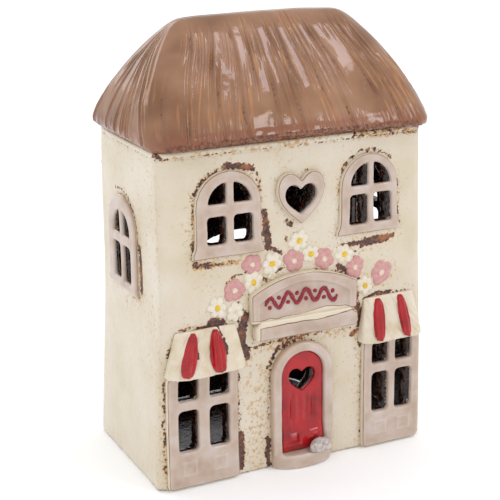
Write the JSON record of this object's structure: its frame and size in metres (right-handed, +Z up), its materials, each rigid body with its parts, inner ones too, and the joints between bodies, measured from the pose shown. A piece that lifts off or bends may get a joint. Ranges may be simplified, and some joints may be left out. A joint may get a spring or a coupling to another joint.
{
  "type": "house tea light holder",
  "caption": "Pottery tea light holder shaped as a two-storey shop with a thatched roof, pierced windows, awnings, a garland of flowers and an arched back opening for a tea light.",
  "frame": {"origin": "centre of the underside of the floor, level with the table", "axes": "+Z up through the ridge, +Y towards the open back, +X to the right along the shop front seen from in front"},
  "size_m": [0.1392, 0.0867, 0.2034],
  "materials": {
    "cream_glaze": "satin cream glaze, speckled with brown where the clay shows",
    "thatch_glaze": "glossy tan brown glaze over combed strokes",
    "mauve_glaze": "glossy mauve grey glaze",
    "red_glaze": "glossy red glaze",
    "pink_glaze": "pink glaze with a cream dot",
    "white_glaze": "white glaze",
    "yellow_glaze": "yellow glaze",
    "mottled_glaze": "mottled grey and white glaze",
    "foil": "thin drawn foil",
    "tin": "stamped tinplate",
    "wax": "white paraffin wax",
    "cotton": "waxed braided cotton"
  },
  "bodies": {
    "house": {"front_wall": "cream_glaze", "back_wall": "cream_glaze", "left_wall": "cream_glaze", "right_wall": "cream_glaze", "floor_slab": "cream_glaze", "left_awning": "cream_glaze", "right_awning": "cream_glaze", "thatched_roof": "thatch_glaze", "upper_left_window": "mauve_glaze", "upper_right_window": "mauve_glaze", "left_side_window": "mauve_glaze", "right_side_window": "mauve_glaze", "heart_window": "mauve_glaze", "left_shop_window": "mauve_glaze", "right_shop_window": "mauve_glaze", "door_surround": "mauve_glaze", "doorstep": "mauve_glaze", "sign_plaque": "mauve_glaze", "sign_bar": "mauve_glaze", "door_leaf": "red_glaze", "left_awning_stripe_1": "red_glaze", "left_awning_stripe_2": "red_glaze", "right_awning_stripe_1": "red_glaze", "right_awning_stripe_2": "red_glaze", "pink_flower_1": "pink_glaze", "pink_flower_2": "pink_glaze", "pink_flower_3": "pink_glaze", "pink_flower_4": "pink_glaze", "pink_flower_5": "pink_glaze", "pink_flower_6": "pink_glaze", "daisy_1": "white_glaze", "daisy_2": "white_glaze", "daisy_3": "white_glaze", "daisy_4": "white_glaze", "daisy_5": "white_glaze", "daisy_6": "white_glaze", "daisy_7": "white_glaze", "plain_flower": "white_glaze", "daisy_centre_1": "yellow_glaze", "daisy_centre_2": "yellow_glaze", "daisy_centre_3": "yellow_glaze", "daisy_centre_4": "yellow_glaze", "daisy_centre_5": "yellow_glaze", "daisy_centre_6": "yellow_glaze", "daisy_centre_7": "yellow_glaze", "doorstep_lump": "mottled_glaze"},
    "tealight": {"foil_cup": "foil", "wick_sustainer": "tin", "wax": "wax", "wick": "cotton"}
  },
  "joints": [
    {"name": "tealight_lift", "type": "slide", "parent": "house", "child": "tealight", "axis": [0, 0.7431, 0.6691], "range_m": [0, 0.086]}
  ]
}
